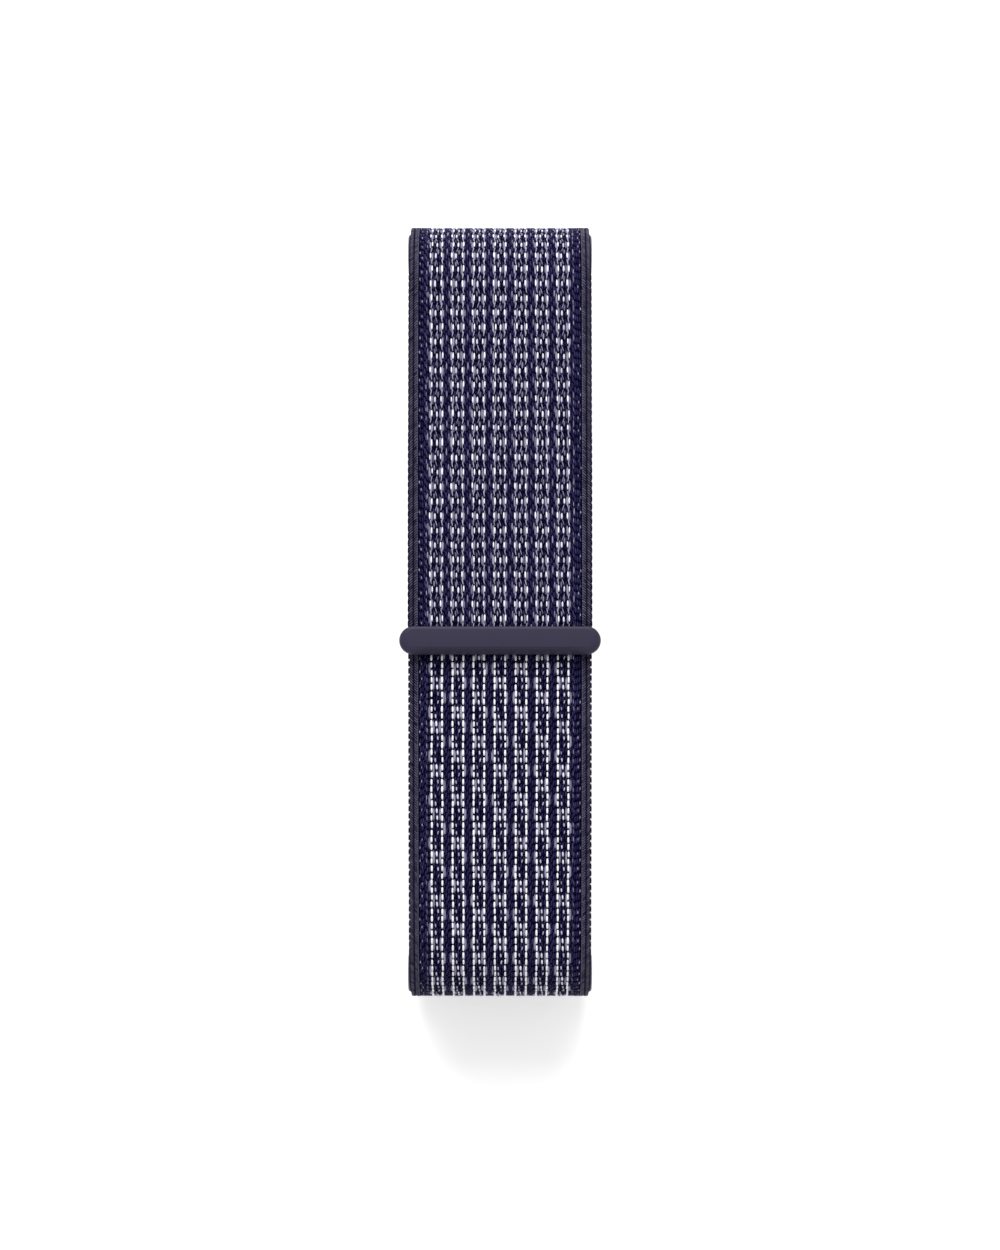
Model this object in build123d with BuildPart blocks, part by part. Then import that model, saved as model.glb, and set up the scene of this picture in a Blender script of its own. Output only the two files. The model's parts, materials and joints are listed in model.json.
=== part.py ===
"""Woven wrist strap for a fitness tracker, closed by hook and loop.

One strip of webbing is sewn round the lower lug's pin, runs over the wrist, folds round the upper lug's pin and
lies back on itself as a tail. A moulded bar ends the tail and stops it from slipping through the lug. Each lug
slides into the tracker's housing and is held there by a sprung latch.

The strap stands as an arch on its two lugs. X is across the strap, +Y points to the upper lug, +Z points up,
and the origin is on the ground in the middle of the arch. All sizes are in millimetres and degrees.
"""
from build123d import *
from math import cos, degrees, radians, sin
import os

os.makedirs("parts", exist_ok=True)

# Webbing
strap_width = 24.0
strap_thickness = 2.2
layer_gap = 0.15            # air between two layers of webbing that lie on each other
band_span = 104.6           # over both legs, outside to outside

# Arch, along the face that touches the skin
crown_radius = 300.0
crown_angle = 8.0           # half of the angle that the crown covers
leg_radius = 60.0
leg_angle = 80.0            # tilt where the shoulder ends and the leg starts
lower_leg_straight = 3.6

# Fold of webbing round a lug's pin
fold_wall = 1.5             # webbing is pressed thinner here
fold_leg = 2.5              # straight stretch above the pin
pin_clearance = 0.05
flap_thickness = 1.5
flap_angle = 84.0           # tilt of the leg where the sewn flap ends

# Stitches through the flap
stitch_length = 1.5
stitch_thread = 0.4
stitch_pitch = 2.6
stitches_per_row = 8
stitch_rows = (0.9, 2.7)    # heights above the fold

# Tail, measured along the crown from its middle
peel_place = 35.0
curl_place = 23.0
bend_slit = 0.3             # gap between solids where the tail bends

# Hook patch under the tail
hook_backing = 0.3
hook_height = 0.3
hook_width = 21.0
hook_margin = 0.6

# End bar
bar_place = -3.6
bar_length = 26.3
bar_width = 3.7
bar_back_thickness = 0.8
bar_cover_height = 2.3
bar_cover_round = 1.2
bar_wall = 0.8
bar_back_inset = 0.3
tip_thickness = 1.2
tip_width = 23.0
tip_overlap = 0.6           # length of the tip inside the full thickness of the tail
tip_clearance = 0.05
peg_radius = 0.5
peg_spacing = 8.0
peg_socket_depth = 0.5
peg_clearance = 0.03

# Lugs
lug_cheek = 0.6
lug_side_clearance = 0.15   # between webbing and cheek
lug_pin_height = 9.4        # pin's centre above the foot
lug_block_thickness = 5.4
lug_block_top = 1.8         # below the pin
lug_block_bottom = 4.4      # below the pin
lug_edge = 0.3
pocket_clearance = 0.32
tongue_width = 22.0
tongue_thickness = 3.8
tongue_edge = 0.3
pin_fit = 0.01

# Latch in each lug
nose_radius = 1.2
nose_reach = 0.6            # how far the nose stands out, and its travel
nose_wall = 0.9             # wall that the nose passes through
nose_clearance = 0.05
flange_radius = 1.6
flange_thickness = 0.6
flange_clearance = 0.1
latch_rest_gap = 0.02
cap_thickness = 0.6
spring_wire = 0.26
spring_turns = 3
spring_end_gap = 0.02

# Elastomer pads on each lug
pad_spacing = 14.0
pad_length = 4.0
pad_height = 2.6
pad_thickness = 0.55
pad_seat_depth = 0.4
pad_fit = 0.01

# Worked out from the sizes above
tail_bottom = strap_thickness + layer_gap
tail_top = tail_bottom + strap_thickness
fold_outer = tail_top / 2
fold_inner = fold_outer - fold_wall
pin_radius = fold_inner - pin_clearance
lug_slot = strap_width + 2 * lug_side_clearance
lug_width = lug_slot + 2 * lug_cheek
half_strap = strap_width / 2


def shoulder_radius(layers_height):
    """Skin-side radius of a shoulder whose outermost layer reaches half the band's span."""
    crown_reach = crown_radius * sin(radians(crown_angle))
    leg_reach = leg_radius * (1 - sin(radians(leg_angle)))
    turn = sin(radians(leg_angle)) - sin(radians(crown_angle))
    return (band_span / 2 - layers_height - crown_reach - leg_reach) / turn


def arch_drop(radius):
    """Height from the crown's centre of curvature down to the end of a leg's arc, on one side."""
    shoulder = radius * (cos(radians(crown_angle)) - cos(radians(leg_angle)))
    return crown_radius * cos(radians(crown_angle)) - shoulder - leg_radius * cos(radians(leg_angle))


lower_shoulder = shoulder_radius(strap_thickness)
upper_shoulder = shoulder_radius(tail_top)
fold_top = lug_pin_height + fold_leg
crown_centre = (0.0, fold_top + lower_leg_straight - arch_drop(lower_shoulder))


def moved(centre, reach, tilt):
    """Point at a distance from a centre, in the direction that leans by tilt from straight up."""
    return (centre[0] + reach * sin(radians(tilt)), centre[1] + reach * cos(radians(tilt)))


def shoulder_centre(radius):
    return moved(crown_centre, crown_radius - radius, crown_angle)


def leg_centre(radius):
    return moved(shoulder_centre(radius), radius - leg_radius, leg_angle)


def tilt_at(place):
    """Tilt of the crown at a distance along it from its middle."""
    return degrees(place / crown_radius)


def arc_layer(side, centre, radius, start, end, low, high):
    """Side view of webbing that follows an arc, from tilt start to tilt end, between two heights off the skin."""
    middle = (start + end) / 2

    def corner(tilt, height):
        across, up = moved(centre, radius + height, tilt)
        return (side * across, up)

    with BuildSketch(Plane.YZ) as section:
        with BuildLine():
            ThreePointArc(corner(start, low), corner(middle, low), corner(end, low))
            Line(corner(end, low), corner(end, high))
            ThreePointArc(corner(end, high), corner(middle, high), corner(start, high))
            Line(corner(start, high), corner(start, low))
        make_face()
    return section.sketch


def crown_layer(start, end, low, high):
    """Side view of webbing on the crown, between two places along it."""
    return arc_layer(1, crown_centre, crown_radius, tilt_at(start), tilt_at(end), low, high)


def shoulder_layer(side, radius, low, high):
    """Side view of webbing over a shoulder."""
    return arc_layer(side, shoulder_centre(radius), radius, crown_angle, leg_angle, low, high)


def leg_layer(side, radius, start, low, high):
    """Side view of webbing on a leg, from tilt start down to the fold round the lug's pin."""
    centre = leg_centre(radius)
    middle = (start + 90) / 2

    def corner(tilt, height):
        across, up = moved(centre, leg_radius + height, tilt)
        return (side * across, up)

    def foot(height):
        return (side * (centre[0] + leg_radius + height), fold_top)

    with BuildSketch(Plane.YZ) as section:
        with BuildLine():
            ThreePointArc(corner(start, low), corner(middle, low), corner(90, low))
            Line(corner(90, low), foot(low))
            Line(foot(low), foot(high))
            Line(foot(high), corner(90, high))
            ThreePointArc(corner(90, high), corner(middle, high), corner(start, high))
            Line(corner(start, high), corner(start, low))
        make_face()
    return section.sketch


def pin_place(side):
    """Distance of a lug's pin from the middle of the arch."""
    radius, offset = (upper_shoulder, fold_outer) if side > 0 else (lower_shoulder, strap_thickness - fold_outer)
    return side * (leg_centre(radius)[0] + leg_radius + offset)


def lug_plane(side):
    """Side view of a lug, seen with its outer face to the right, and its origin on the pin."""
    return Plane(origin=(0, pin_place(side), lug_pin_height), x_dir=(0, side, 0), z_dir=(side, 0, 0))


def latch_plane(side, outward):
    """Plane square to the latch's axis, at a distance outward from the pin's plane."""
    height = (lug_pin_height - lug_block_bottom) / 2
    return Plane(origin=(0, pin_place(side) + side * outward, height), x_dir=(1, 0, 0), z_dir=(0, side, 0))


# Webbing: front run, shoulders and legs
with BuildPart() as strap_front:
    extrude(arc_layer(1, crown_centre, crown_radius, -crown_angle, crown_angle, 0, strap_thickness),
            amount=half_strap, both=True)
strap_front.part.label = "strap_front"
export_step(strap_front.part, "parts/strap_front.step")

with BuildPart() as strap_lower_shoulder:
    extrude(shoulder_layer(-1, lower_shoulder, 0, strap_thickness), amount=half_strap, both=True)
strap_lower_shoulder.part.label = "strap_lower_shoulder"
export_step(strap_lower_shoulder.part, "parts/strap_lower_shoulder.step")

with BuildPart() as strap_lower_leg:
    extrude(leg_layer(-1, lower_shoulder, leg_angle, 0, strap_thickness), amount=half_strap, both=True)
strap_lower_leg.part.label = "strap_lower_leg"
export_step(strap_lower_leg.part, "parts/strap_lower_leg.step")

with BuildPart() as strap_upper_shoulder:
    extrude(shoulder_layer(1, upper_shoulder, 0, strap_thickness), amount=half_strap, both=True)
strap_upper_shoulder.part.label = "strap_upper_shoulder"
export_step(strap_upper_shoulder.part, "parts/strap_upper_shoulder.step")

with BuildPart() as strap_upper_leg:
    extrude(leg_layer(1, upper_shoulder, leg_angle, 0, strap_thickness), amount=half_strap, both=True)
strap_upper_leg.part.label = "strap_upper_leg"
export_step(strap_upper_leg.part, "parts/strap_upper_leg.step")

# Webbing round the two pins
for side, name in ((1, "strap_upper_fold"), (-1, "strap_end_loop")):
    with BuildPart() as strap_fold:
        with BuildSketch(lug_plane(side)):
            Circle(fold_outer)
            Circle(fold_inner, mode=Mode.SUBTRACT)
            with Locations((0, fold_outer / 2)):
                Rectangle(2 * fold_outer, fold_outer, mode=Mode.SUBTRACT)
            with Locations((0, fold_leg / 2)):
                with GridLocations(2 * fold_inner + fold_wall, 1, 2, 1):
                    Rectangle(fold_wall, fold_leg)
        extrude(amount=half_strap, both=True)
    strap_fold.part.label = name
    export_step(strap_fold.part, f"parts/{name}.step")

# Flap of webbing that is sewn to the inside of the lower leg
flap_low = -layer_gap - flap_thickness
with BuildPart() as strap_end_flap:
    extrude(leg_layer(-1, lower_shoulder, flap_angle, flap_low, -layer_gap), amount=half_strap, both=True)
strap_end_flap.part.label = "strap_end_flap"
export_step(strap_end_flap.part, "parts/strap_end_flap.step")

# Each stitch is a closed loop of thread through the leg and the flap
stitch_depth = strap_thickness - flap_low
stitch_centre = -(leg_centre(lower_shoulder)[0] + leg_radius + (strap_thickness + flap_low) / 2)
with BuildPart() as end_loop_stitches:
    for row_height in stitch_rows:
        with BuildSketch(Plane.XY.offset(fold_top + row_height - stitch_thread / 2)):
            with Locations((0, stitch_centre)):
                with GridLocations(stitch_pitch, 1, stitches_per_row, 1):
                    Rectangle(stitch_length, stitch_depth + 2 * stitch_thread)
                    Rectangle(stitch_length - 2 * stitch_thread, stitch_depth, mode=Mode.SUBTRACT)
        extrude(amount=stitch_thread)
end_loop_stitches.part.label = "end_loop_stitches"
export_step(end_loop_stitches.part, "parts/end_loop_stitches.step")

# Tail: down the upper leg, over the upper shoulder and back along the crown
with BuildPart() as tail_leg:
    extrude(leg_layer(1, upper_shoulder, leg_angle, tail_bottom, tail_top), amount=half_strap, both=True)
tail_leg.part.label = "tail_leg"
export_step(tail_leg.part, "parts/tail_leg.step")

with BuildPart() as tail_shoulder:
    extrude(shoulder_layer(1, upper_shoulder, tail_bottom, tail_top), amount=half_strap, both=True)
tail_shoulder.part.label = "tail_shoulder"
export_step(tail_shoulder.part, "parts/tail_shoulder.step")

crown_end = crown_radius * radians(crown_angle)
with BuildPart() as tail_base:
    extrude(crown_layer(peel_place + bend_slit / 2, crown_end, tail_bottom, tail_top),
            amount=half_strap, both=True)
tail_base.part.label = "tail_base"
export_step(tail_base.part, "parts/tail_base.step")

with BuildPart() as tail_middle:
    extrude(crown_layer(curl_place + bend_slit / 2, peel_place - bend_slit / 2, tail_bottom, tail_top),
            amount=half_strap, both=True)
tail_middle.part.label = "tail_middle"
export_step(tail_middle.part, "parts/tail_middle.step")

# The bar's plane lies on the skin face of the crown, under the bar, with Y along the strap
bar_tilt = tilt_at(bar_place)
bar_origin = moved(crown_centre, crown_radius, bar_tilt)
bar_plane = Plane(origin=(0, *bar_origin), x_dir=(1, 0, 0),
                  z_dir=(0, sin(radians(bar_tilt)), cos(radians(bar_tilt))))
bar_seam = tail_bottom + bar_back_thickness      # height where the back plate meets the cover
tip_start = -bar_width / 2 + bar_wall + tip_clearance
tail_end_start = bar_width / 2 + tip_clearance
hook_top = tail_bottom + hook_height + hook_backing

with BuildPart() as tail_end:
    extrude(crown_layer(bar_place + tail_end_start, curl_place - bend_slit / 2, hook_top, tail_top),
            amount=half_strap, both=True)
    with BuildSketch(bar_plane.offset(bar_seam)):
        tip_end = tail_end_start + tip_overlap
        with Locations((0, (tip_start + tip_end) / 2)):
            Rectangle(tip_width, tip_end - tip_start)
    extrude(amount=tip_thickness)
    with BuildSketch(bar_plane.offset(bar_seam)):
        with GridLocations(peg_spacing, 1, 3, 1):
            Circle(peg_radius + peg_clearance)
    extrude(amount=tip_thickness, mode=Mode.SUBTRACT)
tail_end.part.label = "tail_end"
export_step(tail_end.part, "parts/tail_end.step")

# Hook patch
hook_start = bar_place + tail_end_start + hook_margin
hook_end = curl_place - bend_slit / 2 - hook_margin
for name, low, high in (("hook_backing", tail_bottom + hook_height, hook_top),
                        ("hook_field", tail_bottom, tail_bottom + hook_height)):
    with BuildPart() as hook_layer:
        extrude(crown_layer(hook_start, hook_end, low, high), amount=hook_width / 2, both=True)
    hook_layer.part.label = name
    export_step(hook_layer.part, f"parts/{name}.step")

# End bar: cover with a pocket for the tail's tip, and a back plate whose pegs go through the tip
with BuildPart() as end_bar_cover:
    with BuildSketch(bar_plane.offset(bar_seam)):
        SlotOverall(bar_length, bar_width)
    extrude(amount=bar_cover_height)
    bar_top = end_bar_cover.faces().sort_by(Axis(bar_plane.origin, bar_plane.z_dir))[-1]
    fillet(bar_top.edges(), radius=min(bar_cover_round, 0.45 * bar_width, 0.9 * bar_cover_height))
    with BuildSketch(bar_plane.offset(bar_seam)):
        pocket_start = -bar_width / 2 + bar_wall
        with Locations((0, (pocket_start + bar_width / 2) / 2)):
            Rectangle(tip_width + 2 * tip_clearance, bar_width / 2 - pocket_start)
    extrude(amount=tip_thickness, mode=Mode.SUBTRACT)
    with BuildSketch(bar_plane.offset(bar_seam)):
        with GridLocations(peg_spacing, 1, 3, 1):
            Circle(peg_radius + peg_clearance)
    extrude(amount=tip_thickness + peg_socket_depth, mode=Mode.SUBTRACT)
end_bar_cover.part.label = "end_bar_cover"
export_step(end_bar_cover.part, "parts/end_bar_cover.step")

with BuildPart() as end_bar_back:
    with BuildSketch(bar_plane.offset(tail_bottom)):
        SlotOverall(bar_length - 2 * bar_back_inset, bar_width - 2 * bar_back_inset)
    extrude(amount=bar_back_thickness)
    with BuildSketch(bar_plane.offset(bar_seam)):
        with GridLocations(peg_spacing, 1, 3, 1):
            Circle(peg_radius)
    extrude(amount=tip_thickness + peg_socket_depth - peg_clearance)
end_bar_back.part.label = "end_bar_back"
export_step(end_bar_back.part, "parts/end_bar_back.step")

# Lugs, one at each end of the strap
tongue_outer = tongue_thickness / 2
bore_floor = -tongue_outer + nose_wall          # where the wide bore meets the nose's hole
bore_radius = flange_radius + flange_clearance
pocket_radius = fold_outer + pocket_clearance
flange_bottom = bore_floor + latch_rest_gap
flange_top = flange_bottom + flange_thickness
cap_bottom = tongue_outer - cap_thickness
spring_radius = flange_radius - spring_wire
tongue_height = lug_pin_height - lug_block_bottom

for side, lug in ((1, "upper_lug"), (-1, "lower_lug")):
    with BuildPart() as lug_body:
        with BuildSketch(lug_plane(side)):
            Circle(lug_block_thickness / 2)
            with Locations((0, -lug_block_bottom / 2)):
                Rectangle(lug_block_thickness, lug_block_bottom)
        extrude(amount=lug_width / 2, both=True)
        block_bottom = lug_body.edges().filter_by(Axis.X).group_by(Axis.Z)[0]
        fillet(lug_body.faces().filter_by(Axis.X).edges() + block_bottom, radius=lug_edge)
        with BuildSketch(lug_plane(side)):
            Circle(pocket_radius)
            with Locations((0, lug_block_thickness / 2 - lug_block_top / 2)):
                Rectangle(2 * lug_block_thickness, lug_block_thickness + lug_block_top)
        extrude(amount=lug_slot / 2, both=True, mode=Mode.SUBTRACT)
        with BuildSketch(lug_plane(side)):
            with Locations((0, -lug_block_bottom - tongue_height / 2)):
                Rectangle(tongue_thickness, tongue_height)
        extrude(amount=tongue_width / 2, both=True)
        upright_edges = lug_body.edges().filter_by(Axis.Z)
        fillet([edge for edge in upright_edges if edge.center().Z < tongue_height], radius=tongue_edge)
        with BuildSketch(lug_plane(side)):
            Circle(pin_radius + pin_fit)
        extrude(amount=lug_width / 2, both=True, mode=Mode.SUBTRACT)
        with BuildSketch(latch_plane(side, bore_floor)):
            Circle(bore_radius)
        extrude(amount=tongue_outer - bore_floor, mode=Mode.SUBTRACT)
        with BuildSketch(latch_plane(side, -tongue_outer)):
            Circle(nose_radius + nose_clearance)
        extrude(amount=nose_wall, mode=Mode.SUBTRACT)
        with BuildSketch(latch_plane(side, tongue_outer - pad_seat_depth)):
            with GridLocations(pad_spacing, 1, 2, 1):
                Rectangle(pad_length, pad_height)
        extrude(amount=pad_seat_depth, mode=Mode.SUBTRACT)
    lug_body.part.label = f"{lug}_body"
    export_step(lug_body.part, f"parts/{lug}_body.step")

    with BuildPart() as lug_pin:
        with BuildSketch(lug_plane(side)):
            Circle(pin_radius)
        extrude(amount=lug_width / 2, both=True)
    lug_pin.part.label = f"{lug}_pin"
    export_step(lug_pin.part, f"parts/{lug}_pin.step")

    with BuildPart() as latch:
        with BuildSketch(latch_plane(side, flange_bottom)):
            Circle(flange_radius)
        extrude(amount=flange_thickness)
        with BuildSketch(latch_plane(side, -tongue_outer - nose_reach)):
            Circle(nose_radius)
        extrude(amount=nose_reach + nose_wall + latch_rest_gap)
        fillet(latch.faces().sort_by(Axis((0, 0, 0), (0, side, 0)))[0].edges(), radius=nose_reach * 0.6)
    latch.part.label = f"{lug}_latch"
    export_step(latch.part, f"parts/{lug}_latch.step")

    with BuildPart() as latch_spring:
        spring_height = cap_bottom - flange_top - spring_wire - 2 * spring_end_gap
        spring_foot = latch_plane(side, flange_top + spring_end_gap + spring_wire / 2)
        with BuildLine() as coil:
            Helix(pitch=spring_height / spring_turns, height=spring_height, radius=spring_radius,
                  center=spring_foot.origin, direction=spring_foot.z_dir)
        with BuildSketch(Plane(origin=coil.line @ 0, z_dir=coil.line % 0)):
            Circle(spring_wire / 2)
        sweep()
    latch_spring.part.label = f"{lug}_latch_spring"
    export_step(latch_spring.part, f"parts/{lug}_latch_spring.step")

    with BuildPart() as latch_cap:
        with BuildSketch(latch_plane(side, cap_bottom)):
            Circle(bore_radius - pin_fit)
        extrude(amount=cap_thickness)
    latch_cap.part.label = f"{lug}_latch_cap"
    export_step(latch_cap.part, f"parts/{lug}_latch_cap.step")

    with BuildPart() as lug_pads:
        with BuildSketch(latch_plane(side, tongue_outer - pad_seat_depth)):
            with GridLocations(pad_spacing, 1, 2, 1):
                Rectangle(pad_length - 2 * pad_fit, pad_height - 2 * pad_fit)
        extrude(amount=pad_thickness)
    lug_pads.part.label = f"{lug}_pads"
    export_step(lug_pads.part, f"parts/{lug}_pads.step")
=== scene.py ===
# %% [markdown]
# # A woven wrist strap for a fitness tracker
#
# The object is one strip of patterned nylon webbing. It is sewn round the pin of one lug, runs over the wrist, folds
# round the pin of the other lug and lies back on itself, closed by hook and loop. A moulded bar ends it.
# Here the webbing is built from its yarns: a shape that repeats is worked out once and then placed along the strip.
# Sizes are in millimetres until a mesh is made, because that is how a weaver would give them.

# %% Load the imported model
import json
import bpy
import numpy as np
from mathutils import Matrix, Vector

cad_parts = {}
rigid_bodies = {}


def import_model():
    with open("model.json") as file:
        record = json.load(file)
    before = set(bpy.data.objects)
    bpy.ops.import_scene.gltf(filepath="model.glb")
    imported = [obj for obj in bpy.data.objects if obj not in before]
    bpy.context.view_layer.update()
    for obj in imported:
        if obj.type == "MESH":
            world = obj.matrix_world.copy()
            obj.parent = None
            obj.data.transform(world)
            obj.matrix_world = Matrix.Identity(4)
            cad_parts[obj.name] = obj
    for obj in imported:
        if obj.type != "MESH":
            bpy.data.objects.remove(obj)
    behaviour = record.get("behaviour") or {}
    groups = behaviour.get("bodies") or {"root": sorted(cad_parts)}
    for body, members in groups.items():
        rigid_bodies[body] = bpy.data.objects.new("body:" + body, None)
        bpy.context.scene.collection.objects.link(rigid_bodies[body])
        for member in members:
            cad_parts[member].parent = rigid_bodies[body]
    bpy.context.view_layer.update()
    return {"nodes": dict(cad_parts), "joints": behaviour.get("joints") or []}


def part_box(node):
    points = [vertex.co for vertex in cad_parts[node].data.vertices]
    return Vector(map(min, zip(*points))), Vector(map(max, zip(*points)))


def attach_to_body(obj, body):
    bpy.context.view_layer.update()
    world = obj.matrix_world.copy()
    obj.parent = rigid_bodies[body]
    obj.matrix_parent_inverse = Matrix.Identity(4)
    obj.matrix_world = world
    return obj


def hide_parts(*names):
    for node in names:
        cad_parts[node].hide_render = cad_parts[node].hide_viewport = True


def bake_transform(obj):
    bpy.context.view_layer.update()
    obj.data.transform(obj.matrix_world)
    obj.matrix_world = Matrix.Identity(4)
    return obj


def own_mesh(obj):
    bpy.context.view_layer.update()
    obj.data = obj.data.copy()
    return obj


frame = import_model()
MM = 0.001


def node_box(node):
    """Lowest and highest corner of a CAD node, in millimetres."""
    low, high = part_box(node)
    return np.array(low) / MM, np.array(high) / MM


joint_places = {j["name"]: np.array(j.get("pos_m", (0, 0, 0))) / MM for j in frame["joints"]}

# %% [markdown]
# ## Camera and light
#
# A strap is best judged flat on, so the camera hangs high above it with a long lens, which keeps the edges parallel.
# The light is that of a product table: a bright, even surround, and one broad lamp beyond the upper lug, so that
# rounded yarns and the moulded bar have a lit side and a shaded side. The standard view keeps white yarn white.

# %% Camera and lamp
scene = bpy.context.scene
FRONT_HEIGHT = node_box("strap_front")[1][2]
CAMERA_DISTANCE = 450.0
CAMERA_OFFSET = -1.64           # the camera stands a little towards the lower lug
VIEW_HEIGHT = 163.8             # millimetres of the strap's plane that the frame holds from top to bottom
SENSOR = 36.0
NEAREST, FARTHEST = 0.01, 20    # metres between which the camera sees
KEY_PLACE, KEY_TARGET, KEY_SIZE, KEY_POWER = (-40, 460, 640), (0, 0, 30), 460, 5.2
SURROUND = 0.56

camera_data = bpy.data.cameras.new("camera")
camera_data.sensor_width = SENSOR
camera_data.lens = SENSOR * CAMERA_DISTANCE / VIEW_HEIGHT
camera_data.clip_start = NEAREST
camera_data.clip_end = FARTHEST
camera = bpy.data.objects.new("camera", camera_data)
camera.location = (0, CAMERA_OFFSET * MM, (FRONT_HEIGHT + CAMERA_DISTANCE) * MM)
scene.collection.objects.link(camera)
scene.camera = camera
scene.view_settings.view_transform = "Standard"

lamp_data = bpy.data.lights.new("key_lamp", "AREA")
lamp_data.size = KEY_SIZE * MM
lamp_data.energy = KEY_POWER
lamp = bpy.data.objects.new("key_lamp", lamp_data)
lamp.location = np.array(KEY_PLACE) * MM
direction = Vector((np.array(KEY_TARGET) - np.array(KEY_PLACE)).tolist())
lamp.rotation_euler = direction.to_track_quat("-Z", "Y").to_euler()
scene.collection.objects.link(lamp)

world = bpy.data.worlds.new("surround")
world.use_nodes = True
background = world.node_tree.nodes["Background"]
background.inputs["Color"].default_value = (1, 1, 1, 1)
background.inputs["Strength"].default_value = SURROUND
scene.world = world

# %% [markdown]
# ## Materials
#
# Each finish starts from the real material and how it was made. Yarns are drawn nylon or polyester filament, so they
# shine softly along their length, and each float differs a little in tone because the filaments lie differently.
# That difference is stored per vertex as an attribute, "tone", because it belongs to the yarn and not to a place.

# %% Material helpers
NYLON_IOR = 1.53
YARN_TWIST = 0.45               # radians by which the filaments lean across the yarn


def linear(code):
    """sRGB hex value to linear red, green, blue and alpha."""
    channels = np.array([int(code[i:i + 2], 16) for i in (0, 2, 4)]) / 255
    low = channels / 12.92
    high = ((channels + 0.055) / 1.055) ** 2.4
    return (*np.where(channels <= 0.04045, low, high).tolist(), 1.0)


def add_node(tree, kind, settings=(), values=(), links=()):
    """Add a node, set its properties and socket values, and link other nodes' outputs to its sockets."""
    node = tree.nodes.new(kind)
    for name, value in dict(settings).items():
        setattr(node, name, value)
    for name, value in dict(values).items():
        node.inputs[name].default_value = value
    for name, socket in dict(links).items():
        tree.links.new(socket, node.inputs[name])
    return node


def start_material(name, roughness, ior=1.5, metallic=0.0, gloss=0.5):
    """New material and its shader, with the constants that are the same all over the surface."""
    material = bpy.data.materials.new(name)
    material.use_nodes = True
    shader = material.node_tree.nodes["Principled BSDF"]
    constants = {"Roughness": roughness, "IOR": ior, "Metallic": metallic, "Specular IOR Level": gloss}
    for socket, value in constants.items():
        shader.inputs[socket].default_value = value
    return material, material.node_tree, shader


def two_tone(tree, shader, factor, dark, light):
    """Base colour that runs from a dark to a light tone of the same dye."""
    ramp = add_node(tree, "ShaderNodeValToRGB", links={"Fac": factor})
    ramp.color_ramp.elements[0].color = linear(dark)
    ramp.color_ramp.elements[1].color = linear(light)
    tree.links.new(ramp.outputs["Color"], shader.inputs["Base Color"])


def bumpy(tree, shader, height, strength, depth_mm):
    """Bump of a given depth on the whole surface."""
    bump = add_node(tree, "ShaderNodeBump", values={"Strength": strength, "Distance": depth_mm * MM},
                    links={"Height": height})
    tree.links.new(bump.outputs["Normal"], shader.inputs["Normal"])


def yarn_material(name, dark, light, roughness, gloss):
    """Filament yarn: tone from the attribute, and fine twisted filaments 0.09 mm apart as bump from the UV map.

    Gloss is below that of solid nylon, because light is lost between the filaments of a bundle.
    """
    material, tree, shader = start_material(name, roughness, NYLON_IOR, gloss=gloss)
    tone = add_node(tree, "ShaderNodeAttribute", {"attribute_name": "tone"})
    two_tone(tree, shader, tone.outputs["Fac"], dark, light)
    place = add_node(tree, "ShaderNodeUVMap", {"uv_map": "along_yarn"})
    turned = add_node(tree, "ShaderNodeMapping", values={"Rotation": (0, 0, YARN_TWIST)},
                      links={"Vector": place.outputs["UV"]})
    filaments = add_node(tree, "ShaderNodeTexWave", {"bands_direction": "X"},
                         {"Scale": 3.5, "Distortion": 1.2, "Detail": 1.0}, {"Vector": turned.outputs["Vector"]})
    bumpy(tree, shader, filaments.outputs["Fac"], 0.35, 0.02)
    return material


# %% [markdown]
# Five yarns make the pattern: a white reflective one, a pearl-grey one that floats beside it, a lilac-white thread up
# the middle of each column, the navy ground and the slate selvedge. Each has its own dark and light tone.

# %% Yarn materials
white_yarn = yarn_material("reflective_polyester_yarn", "CFCBE4", "FCFBFF", 0.4, 0.2)
pearl_yarn = yarn_material("pearl_grey_nylon_yarn", "3A3752", "A4A0BA", 0.5, 0.10)
lilac_yarn = yarn_material("lilac_white_nylon_yarn", "6F6B90", "EFECFA", 0.45, 0.12)
navy_yarn = yarn_material("navy_nylon_yarn", "131036", "36325C", 0.6, 0.03)
slate_yarn = yarn_material("slate_selvedge_yarn", "1C1A2E", "5C586E", 0.6, 0.05)


def cloth_with_painted_shade_material():
    """Navy solution-dyed nylon ground, coloured near black: painted shade for the hollows between the yarns."""
    material, tree, shader = start_material("navy_ground_cloth_with_painted_shade", 0.8, NYLON_IOR, gloss=0.02)
    place = add_node(tree, "ShaderNodeUVMap", {"uv_map": "along_yarn"})
    fibres = add_node(tree, "ShaderNodeTexNoise", values={"Scale": 6.0, "Detail": 4.0, "Roughness": 0.6},
                      links={"Vector": place.outputs["UV"]})
    # painted shade: both tones are near black, darker than the navy yarn, so the hollows between the floats read dark
    two_tone(tree, shader, fibres.outputs["Fac"], "030218", "090722")
    return material


ground_cloth_dye_and_painted_shade = cloth_with_painted_shade_material()


def plastic_material(name, dark, light, roughness, grain_mm=0.35, depth_mm=0.01, gloss=0.5):
    """Moulded plastic from a spark-eroded tool: one colour with a faint mottle and a fine even grain."""
    material, tree, shader = start_material(name, roughness, gloss=gloss)
    place = add_node(tree, "ShaderNodeTexCoord")
    mottle = add_node(tree, "ShaderNodeTexNoise", values={"Scale": 180.0, "Detail": 2.0},
                      links={"Vector": place.outputs["Object"]})
    two_tone(tree, shader, mottle.outputs["Fac"], dark, light)
    grain = add_node(tree, "ShaderNodeTexNoise", values={"Scale": 1 / (grain_mm * MM), "Detail": 3.0},
                     links={"Vector": place.outputs["Object"]})
    bumpy(tree, shader, grain.outputs["Fac"], 0.5, depth_mm)
    return material


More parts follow.
